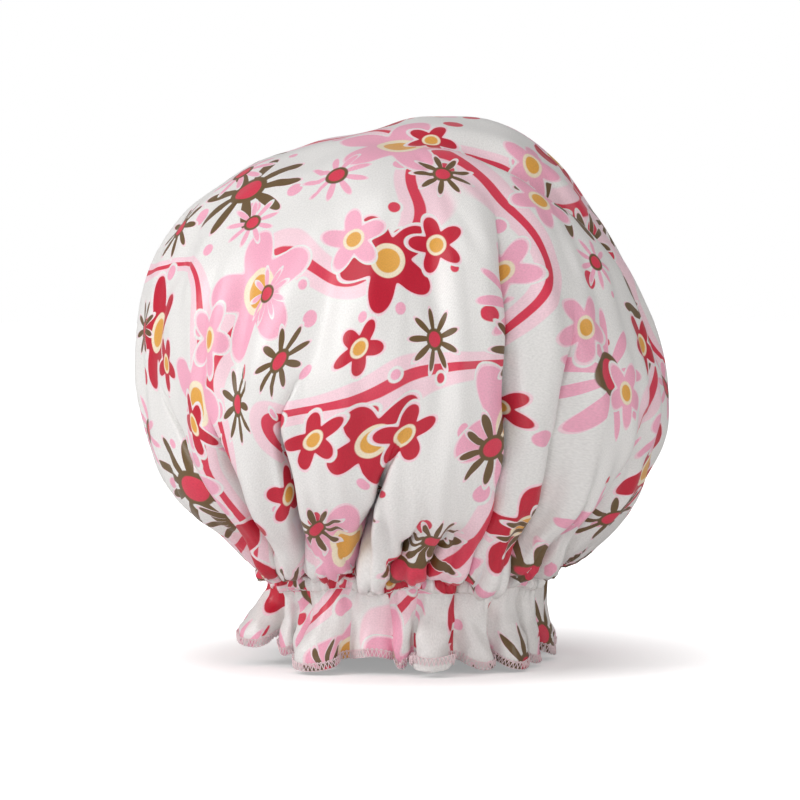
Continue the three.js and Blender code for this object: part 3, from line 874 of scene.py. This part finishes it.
def new_finish(name):
    """A material with a Principled shader: the material, its nodes, the shader and the surface socket."""
    material = bpy.data.materials.new(name)
    material.use_nodes = True
    material.node_tree.nodes.clear()
    nodes = Nodes(material.node_tree)
    shader = nodes.add("ShaderNodeBsdfPrincipled")
    surface = nodes.add("ShaderNodeOutputMaterial").inputs["Surface"]
    nodes.feed(surface, shader.outputs[0])
    return material, nodes, shader, surface


def grouped(nodes, tree, values):
    """The outputs of a node group whose inputs are fed by name."""
    return nodes.by_name(nodes.add("ShaderNodeGroup", node_tree=tree), values).outputs


def bumped(nodes, height, strength, distance):
    """The normal that a height gives."""
    wanted = {"Height": height, "Strength": strength, "Distance": distance}
    return nodes.by_name(nodes.add("ShaderNodeBump"), wanted).outputs[0]


def satin_finish(name):
    """Satin with a bright printed face, and a dull one that shows the print only faintly."""
    material, nodes, right_side, surface = new_finish(name)
    wrong_side = nodes.add("ShaderNodeBsdfPrincipled")
    place = nodes.add("ShaderNodeUVMap", uv_map="cloth").outputs[0]
    weave = grouped(nodes, diagonal_weave, {"Place": place, "Pitch": WEAVE_PITCH})
    speckle = weave["Speckle"]
    shade = nodes.math("MULTIPLY_ADD", speckle, SPECKLE_SHADE, LEAST_SHADE)
    shared = {
        "Sheen Roughness": SHEEN_ROUGHNESS,
        "Specular IOR Level": SATIN_GLOSS,
        "Anisotropic": SATIN_ANISOTROPY,
        "Tangent": nodes.add("ShaderNodeTangent", direction_type="UV_MAP", uv_map="cloth").outputs[0],
        "Normal": bumped(nodes, weave["Height"], WEAVE_BUMP, WEAVE_DEPTH),
    }
    for shader, (strength, low, high, sheen) in ((right_side, RIGHT_SIDE), (wrong_side, WRONG_SIDE)):
        drawn = grouped(nodes, floral_print, {"Place": place, "Strength": strength})
        own = {
            "Base Color": nodes.vector("MULTIPLY", drawn["Colour"], shade),
            "Roughness": nodes.math("MULTIPLY_ADD", speckle, high - low, low),
            "Sheen Weight": sheen,
        }
        nodes.by_name(shader, shared | own)
    rear = nodes.add("ShaderNodeNewGeometry").outputs["Backfacing"]
    nodes.feed(surface, nodes.shaders(rear, right_side.outputs[0], wrong_side.outputs[0]))
    return material


satin_cloth = satin_finish("satin_cloth")
print(f"satin finish: {len(satin_cloth.node_tree.nodes)} nodes")

# %% [markdown]
# Film, thread and braid. The film is milky and a little glossy, and thread and braid are matt. They
# differ only in their values, so a table and one function make all four.

# %% Plain finishes
# light and dark colour, scale of the grain, lowest and highest roughness, bump strength and depth
PLAIN_FINISHES = {
    "milky_film": ((0.84, 0.86, 0.86, 1), (0.76, 0.78, 0.79, 1), 60.0, 0.25, 0.4, 0.3, 0.001),
    "spun_thread": ((0.9, 0.87, 0.85, 1), (0.72, 0.68, 0.66, 1), 2500.0, 0.6, 0.8, 0.4, 0.0001),
    "overlock_thread": ((0.92, 0.78, 0.79, 1), (0.84, 0.64, 0.68, 1), 2500.0, 0.6, 0.8, 0.4, 0.0001),
    "elastic_yarn": ((0.86, 0.84, 0.81, 1), (0.66, 0.63, 0.6, 1), 1800.0, 0.7, 0.9, 0.5, 0.0002),
}


def plain_finish(name, light, dark, scale, low, high, strength, depth):
    """A matt or glossy finish whose colour, roughness and height vary with the grain."""
    material, nodes, shader, _ = new_finish(name)
    place = nodes.add("ShaderNodeTexCoord").outputs["Object"]
    grain = grouped(nodes, fine_grain, {"Place": place, "Scale": scale, "Light": light, "Dark": dark})
    wanted = {
        "Base Color": grain["Colour"],
        "Roughness": nodes.math("MULTIPLY_ADD", grain["Grain"], high - low, low),
        "Normal": bumped(nodes, grain["Grain"], strength, depth),
    }
    nodes.by_name(shader, wanted)
    return material


plain = {name: plain_finish(name, *values) for name, values in PLAIN_FINISHES.items()}
liner_film, white_thread, pink_thread, braid = plain.values()
print("finishes:", *plain)

# %% [markdown]
# The satin itself, crown, channel and frill in one, because the real one is a single cut circle. It
# is a single layer: the cloth is 0.15 mm thick, its edge is bound by the overlock, and all the
# detail of the mesh can go into its gathers.

satin_grid = satin + CENTRE
satin_piece = add_object("satin_outer", grid_mesh("satin_outer", satin_grid, cloth_uv))
satin_piece.data.materials.append(satin_cloth)
placed(satin_piece, "satin", "satin_crown", "satin_frill")
print(f"satin: {surface_area(satin_piece):.4f} square metres of cloth")

# %% [markdown]
# Liner. A circle of film lies inside the satin and follows its folds at a small distance, so it
# never shows through them. It ends in the elastic's channel, tucked behind the elastic.

# %% Liner piece
LINER_INSET, LINER_THICKNESS = 1.4, 0.0002
LINER_COLUMN_STEP = 2
# heights and radii of the film's last rows, behind the elastic
LINER_TUCK = (35.2, 49.4), (33.4, 49.2), (31.6, 49.4), (30.7, 50.4)

liner_rows = satin[: CROWN_ROWS + 1] + crown_points(LINER_INSET)[0] - crown
outward, _ = directions(gather_azimuth)
tucked = [outward * radius + (0, 0, height) for height, radius in LINER_TUCK]
liner_grid = (np.concatenate([liner_rows, tucked]) + CENTRE)[:, ::LINER_COLUMN_STEP]
liner_piece = add_object("waterproof_film", grid_mesh("waterproof_film", liner_grid))
liner_piece.data.materials.append(liner_film)
film = liner_piece.modifiers.new("thickness", "SOLIDIFY")
film.thickness = LINER_THICKNESS
film.offset = -1
film.use_even_offset = False
film_mesh = as_plain_mesh(liner_piece)
liner_piece.modifiers.remove(film)
liner_piece.data = film_mesh
placed(liner_piece, "liner_film", "waterproof_liner")
print(f"liner: {surface_area(liner_piece) / 2:.4f} square metres of film")

# %% [markdown]
# Thread. Every seam on the cap is a short length of thread, bent a little and laid again and again
# along a line. One Geometry Nodes tree does that for all of them: it puts a bent tube on each point
# of a mesh, turned so that its X axis runs along the seam and its Z axis stands out of the cloth.
# The named inputs shape the tube, and the result is turned into a plain mesh.

# %% Thread tree
THREAD_STEPS, THREAD_SIDES = 4, 5


def thread_tree():
    """Geometry Nodes that lay one bent length of thread on each point of a mesh."""
    bend_points = "Start", "Middle", "End"
    inputs = {"Geometry": "Geometry"} | {name: "Vector" for name in bend_points}
    inputs |= {"Thread radius": "Float", "Finish": "Material"}
    nodes, given, made = new_group(
        "GeometryNodeTree", "Thread on each point", inputs, {"Geometry": "Geometry"}
    )
    bend = nodes.add("GeometryNodeCurveQuadraticBezier")
    nodes.by_name(bend, {"Resolution": THREAD_STEPS} | {name: given[name] for name in bend_points})
    profile = nodes.add("GeometryNodeCurvePrimitiveCircle")
    nodes.by_name(profile, {"Resolution": THREAD_SIDES, "Radius": given["Thread radius"]})
    tube = nodes.add("GeometryNodeCurveToMesh")
    curves = {"Curve": bend.outputs["Curve"], "Profile Curve": profile.outputs["Curve"]}
    nodes.by_name(tube, curves | {"Fill Caps": True})
    turned = nodes.add("FunctionNodeAxesToRotation", primary_axis="X", secondary_axis="Z")
    for socket, name in zip(turned.inputs, ("along", "out")):
        attribute = nodes.add("GeometryNodeInputNamedAttribute", data_type="FLOAT_VECTOR")
        nodes.by_name(attribute, {"Name": name})
        nodes.feed(socket, attribute.outputs["Attribute"])
    laid = nodes.add("GeometryNodeInstanceOnPoints")
    nodes.by_name(laid, {"Points": given["Geometry"], "Instance": tube.outputs["Mesh"]})
    nodes.by_name(laid, {"Rotation": turned.outputs["Rotation"]})
    real = nodes.add("GeometryNodeRealizeInstances")
    nodes.by_name(real, {"Geometry": laid.outputs["Instances"]})
    finish = nodes.add("GeometryNodeSetMaterial")
    nodes.by_name(finish, {"Geometry": real.outputs["Geometry"], "Material": given["Finish"]})
    nodes.feed(made["Geometry"], finish.outputs["Geometry"])
    return nodes.tree


thread_on_points = thread_tree()
print(f"thread tree: {len(thread_on_points.nodes)} nodes")

# %% [markdown]
# Seams from the tree. A seam line is a row of the cloth, with points at an even pitch along it. A
# seam of several threads, such as an overlock, runs the tree once for each and joins the results.


# %% Seam helpers
def spaced(row, normals, pitch):
    """Points, directions and normals at an even pitch along a closed row, in millimetres."""
    both = np.concatenate([row, normals], 1)
    closed = np.concatenate([both, both[:1]])
    steps = np.linalg.norm(np.diff(closed[:, :3], axis=0), axis=1)
    travel = np.concatenate([[0], np.cumsum(steps)])
    count = round(travel[-1] / pitch)
    places = np.arange(count) * travel[-1] / count
    points, out = np.split(np.stack([np.interp(places, travel, v) for v in closed.T], -1), 2, 1)
    return points, unit(np.roll(points, -1, 0) - np.roll(points, 1, 0)), unit(out)


def sewn(name, line, shape, radius, finish):
    """A plain mesh of one thread, bent to shape in millimetres, on every point of a line."""
    points, along, out = line
    mesh = bpy.data.meshes.new(name)
    mesh.from_pydata((points * MM).tolist(), [], [])
    for key, values in (("along", along), ("out", out)):
        layer = mesh.attributes.new(key, "FLOAT_VECTOR", "POINT")
        layer.data.foreach_set("vector", values.astype(np.float32).ravel())
    holder = add_object(name, mesh)
    threads = holder.modifiers.new("threads", "NODES")
    threads.node_group = thread_on_points
    start, middle, end = ([length * MM for length in place] for place in shape)
    wanted = {"Start": start, "Middle": middle, "End": end, "Thread radius": radius * MM, "Finish": finish}
    for socket in thread_on_points.interface.items_tree:
        if socket.name in wanted:
            threads[socket.identifier] = wanted[socket.name]
    laid = as_plain_mesh(holder)
    bpy.data.objects.remove(holder)
    return laid


def joined(name, meshes, finish):
    """One object from several plain meshes of the same finish."""
    whole = bmesh.new()
    for mesh in meshes:
        whole.from_mesh(mesh)
    mesh = bpy.data.meshes.new(name)
    whole.to_mesh(mesh)
    whole.free()
    mesh.materials.clear()
    mesh.materials.append(finish)
    mesh.shade_smooth()
    return add_object(name, mesh)


satin_normals = face_normals(satin_grid)
print(f"normals: {satin_normals.shape[0]} rows")

# %% [markdown]
# Channel stitching. Two rows of plain lockstitch in white thread hold the elastic's channel, one
# above it and one below. The gathers hide most of them.

# %% Channel stitching
STITCH_PITCH, STITCH_LENGTH, STITCH_THREAD = 2.6, 2.1, 0.18
STITCH_FOOT, STITCH_CREST = 0.05, 0.5

half = STITCH_LENGTH / 2
stitch_shape = (-half, 0, STITCH_FOOT), (0, 0, STITCH_CREST), (half, 0, STITCH_FOOT)
for name, node, row in (
    ("upper_stitches", "upper_channel_stitching", CROWN_ROWS),
    ("lower_stitches", "lower_channel_stitching", CROWN_ROWS + CHANNEL_ROWS),
):
    line = spaced(satin_grid[row], satin_normals[row], STITCH_PITCH)
    stitches = joined(name, [sewn(name, line, stitch_shape, STITCH_THREAD, white_thread)], white_thread)
    placed(stitches, "white_thread", node)

# %% [markdown]
# Overlock. A three-thread overlock binds the raw hem: a needle thread that waves along about three
# millimetres above the edge, looper threads that run from it to the edge on both faces, and a bead
# where they cross on the edge itself. The thread is soft and pale pink.

# %% Overlock
OVERLOCK_PITCH, OVERLOCK_WIDTH, OVERLOCK_THREAD = 1.5, 2.6, 0.18
OVERLOCK_FACE, OVERLOCK_REAR, LOOPER_BULGE = 0.25, -0.45, 0.25

step, wide, face, rear = OVERLOCK_PITCH, OVERLOCK_WIDTH, OVERLOCK_FACE, OVERLOCK_REAR
overlock_shapes = [
    ((0, wide - 0.4, face), (step / 2, wide + 0.9, face + 0.3), (step, wide - 0.4, face)),
]
for side, bulge in ((face, LOOPER_BULGE), (rear, -LOOPER_BULGE)):
    top, height = (step / 2, wide, side), side + bulge
    overlock_shapes.append((top, (0.7 * step, wide / 2, height), (step, 0, side)))
    overlock_shapes.append(((0, 0, side), (0.3 * step, wide / 2, height), top))
overlock_shapes.append(
    ((-0.1 * step, 0.1, face + 0.1), (step / 2, -0.7, -0.1), (1.1 * step, 0.1, rear - 0.1)),
)
hem_line = spaced(satin_grid[-1], satin_normals[-1], OVERLOCK_PITCH)
overlock_threads = [
    sewn("overlock", hem_line, shape, OVERLOCK_THREAD, pink_thread) for shape in overlock_shapes
]
placed(joined("overlock_thread", overlock_threads, pink_thread), "pink_thread", "hem_overlock")

# %% [markdown]
# Elastic. A narrow braided strip lies in the channel, its ends lapped at the back. The strip is
# lofted along its circle, and the tree lays the braid's slanting yarns on its outer face.

# %% Elastic
ELASTIC_RADIUS, ELASTIC_WIDTH, ELASTIC_THICKNESS = 50.0, 3.0, 0.8
ELASTIC_HEIGHT = (LOWER_STITCH + UPPER_STITCH) / 2
ELASTIC_LAP, LAP_AZIMUTH, LAP_GAP = 12.0, 170.0, 0.05
ELASTIC_STEPS = 180
YARN_PITCH, YARN_RADIUS, YARN_SLANT, YARN_CREST = 1.5, 0.2, 0.6, 0.1


def elastic_strip():
    """The strip's mesh: a flat loop whose last stretch rides over its start."""
    turned = 360 + math.degrees(ELASTIC_LAP / ELASTIC_RADIUS)
    share = np.linspace(0, 1, ELASTIC_STEPS + 1)
    outward, _ = directions(LAP_AZIMUTH - ELASTIC_LAP / 2 + turned * share)
    climb = (ELASTIC_THICKNESS + LAP_GAP) * ease(share * turned, 330, 358)
    corners = []
    for away, up in ((0, -0.5), (0, 0.5), (1, 0.5), (1, -0.5)):
        ring = outward * (ELASTIC_RADIUS + away * ELASTIC_THICKNESS + climb)[:, None]
        ring[:, 2] = ELASTIC_HEIGHT + up * ELASTIC_WIDTH
        corners.append(ring + CENTRE)
    points = np.stack(corners, 1).reshape(-1, 3) * MM
    sides = [
        (4 * i + a, 4 * i + b, 4 * i + 4 + b, 4 * i + 4 + a)
        for i in range(ELASTIC_STEPS)
        for a, b in ((0, 1), (1, 2), (2, 3), (3, 0))
    ]
    last = 4 * ELASTIC_STEPS
    mesh = bpy.data.meshes.new("strip")
    mesh.from_pydata(points.tolist(), [], sides + [(3, 2, 1, 0), (last, last + 1, last + 2, last + 3)])
    return mesh


def on_elastic(azimuth, layers):
    """A line of places on the elastic's outer face, so many layers of elastic thick."""
    outward, sideways = directions(azimuth)
    points = outward * (ELASTIC_RADIUS + layers * ELASTIC_THICKNESS) + CENTRE + (0, 0, ELASTIC_HEIGHT)
    return points, sideways, outward


edge = 0.45 * ELASTIC_WIDTH
yarn_count = round(2 * math.pi * ELASTIC_RADIUS / YARN_PITCH)
yarn_line = on_elastic(np.arange(yarn_count) * 360 / yarn_count, 1)
yarn_shapes = [
    ((-YARN_SLANT, -edge, 0), (0, -edge / 2, YARN_CREST), (YARN_SLANT, 0, 0)),
    ((YARN_SLANT, 0, 0), (0, edge / 2, YARN_CREST), (-YARN_SLANT, edge, 0)),
]
yarns = [sewn("yarn", yarn_line, shape, YARN_RADIUS, braid) for shape in yarn_shapes]
placed(joined("elastic_braid", [elastic_strip()] + yarns, braid), "elastic", "elastic_band")

# %% [markdown]
# Tack. A short zigzag of white thread sews the lapped ends of the elastic together. It lies on the
# outer one of the two layers, and the same tree sews it.

# %% Tack
TACK_LENGTH, TACK_STITCHES, TACK_THREAD = 7.0, 6, 0.15
TACK_FOOT, TACK_CREST = 0.1, 0.4

tack_turn = math.degrees(TACK_LENGTH / ELASTIC_RADIUS)
tack_share = np.arange(TACK_STITCHES) / (TACK_STITCHES - 1) - 0.5
tack_line = on_elastic(LAP_AZIMUTH + tack_turn * tack_share, 2)
tack_step = TACK_LENGTH / TACK_STITCHES / 2
tack_top, tack_middle = (0, edge, TACK_FOOT), (0, 0, TACK_CREST)
tack_shapes = [
    ((-tack_step, -edge, TACK_FOOT), tack_middle, tack_top),
    (tack_top, tack_middle, (tack_step, -edge, TACK_FOOT)),
]
tack_threads = [sewn("tack", tack_line, shape, TACK_THREAD, white_thread) for shape in tack_shapes]
placed(joined("tack_zigzag", tack_threads, white_thread), "white_thread", "elastic_tack")

# %% [markdown]
# Floor. The cap stands on white ground that keeps its soft shadow. A plain white floor would turn
# grey, so this one also glows, weakly by the cap and fully further out. It glows to the camera only,
# so it throws no more light on the cap, and from below it is clear, so the mouth can be looked into.

# %% Floor
FLOOR_SIDE, FLOOR_DROP = 8.0, 0.0002
FLOOR_COLOUR, FLOOR_ROUGHNESS, FLOOR_GLOSS = (0.9, 0.9, 0.9, 1), 0.9, 0.1
# how far from the middle the floor's own white starts and is full, and its least and full strength
WHITE_FROM, WHITE_TO, WHITE_LEAST, WHITE_FULL = 0.07, 0.16, 0.3, 1.0

half = FLOOR_SIDE / 2
floor_corners = [(-half, -half, 0), (half, -half, 0), (half, half, 0), (-half, half, 0)]
floor_mesh = bpy.data.meshes.new("floor")
floor_mesh.from_pydata(floor_corners, [], [(0, 1, 2, 3)])
floor = add_object("floor", floor_mesh)
floor.location.z = -FLOOR_DROP
floor_finish, nodes, shader, surface = new_finish("floor_white")
away = nodes.vector("LENGTH", nodes.add("ShaderNodeTexCoord").outputs["Object"])
spread = {"From Min": WHITE_FROM, "From Max": WHITE_TO, "To Min": WHITE_LEAST, "To Max": WHITE_FULL}
lift = nodes.by_name(nodes.add("ShaderNodeMapRange"), spread | {"Value": away}).outputs[0]
seen = nodes.add("ShaderNodeLightPath").outputs["Is Camera Ray"]
floor_look = {
    "Base Color": FLOOR_COLOUR,
    "Roughness": FLOOR_ROUGHNESS,
    "Specular IOR Level": FLOOR_GLOSS,
    "Emission Color": (1, 1, 1, 1),
    "Emission Strength": nodes.math("MULTIPLY", lift, seen),
}
nodes.by_name(shader, floor_look)
below = nodes.add("ShaderNodeNewGeometry").outputs["Backfacing"]
clear = nodes.add("ShaderNodeBsdfTransparent").outputs[0]
nodes.feed(surface, nodes.shaders(below, shader.outputs[0], clear))
floor.data.materials.append(floor_finish)
print(f"floor: {FLOOR_SIDE:.0f} m square, white from {WHITE_TO} m out")

# %% [markdown]
# Surround. An even pale light from all sides fills the folds, as white walls round the cap would
# do. The camera sees it as plain white.

# %% Surround
SURROUND = 0.31

world = bpy.data.worlds.new("surround")
bpy.context.scene.world = world
world.use_nodes = True
world.node_tree.nodes.clear()
nodes = Nodes(world.node_tree)
lit, seen_white = (
    nodes.in_order(nodes.add("ShaderNodeBackground"), [(1, 1, 1, 1), strength]).outputs[0]
    for strength in (SURROUND, 1.0)
)
path = nodes.add("ShaderNodeLightPath").outputs
looked_at = nodes.math("MAXIMUM", path["Is Camera Ray"], path["Is Transmission Ray"])
world_surface = nodes.add("ShaderNodeOutputWorld").inputs["Surface"]
nodes.feed(world_surface, nodes.shaders(looked_at, lit, seen_white))
print(f"surround: strength {SURROUND}")

# %% [markdown]
# Lamps. The key light is a large disc at the upper left in front, and draws the gloss on the folds.
# A soft one hangs overhead, a low card in front lights the frill, and a weak one low at the right
# keeps the shaded side open.

# %% Lamps
# place, aim, size in metres, power in watts, colour
LAMPS = {
    "key": ((-1.3, -0.65, 0.85), (0, 0, 0.1), 0.7, 10.9, (1, 0.99, 0.98)),
    "top": ((-0.5, -0.4, 1.5), (0, 0, 0.1), 0.9, 5.0, (1, 1, 1)),
    "card": ((-0.35, -1.3, 0.05), (0, 0, 0.05), 0.5, 3.5, (1, 1, 1)),
    "fill": ((1.1, -0.85, 0.22), (0, 0, 0.08), 0.8, 4.4, (1, 0.98, 0.95)),
}

for name, (place, aim, size, power, colour) in LAMPS.items():
    data = bpy.data.lights.new(name, "AREA")
    data.shape = "DISK"
    data.size = size
    data.energy = power
    data.color = colour
    lamp = add_object(name, data)
    lamp.location = place
    lamp.rotation_euler = (Vector(aim) - Vector(place)).to_track_quat("-Z", "Y").to_euler()
bpy.context.scene.view_settings.view_transform = "Standard"
print("lamps:", *LAMPS)

# %% [markdown]
# End of the scene: a last line says that it is built.

# %% End
print("scene: built")
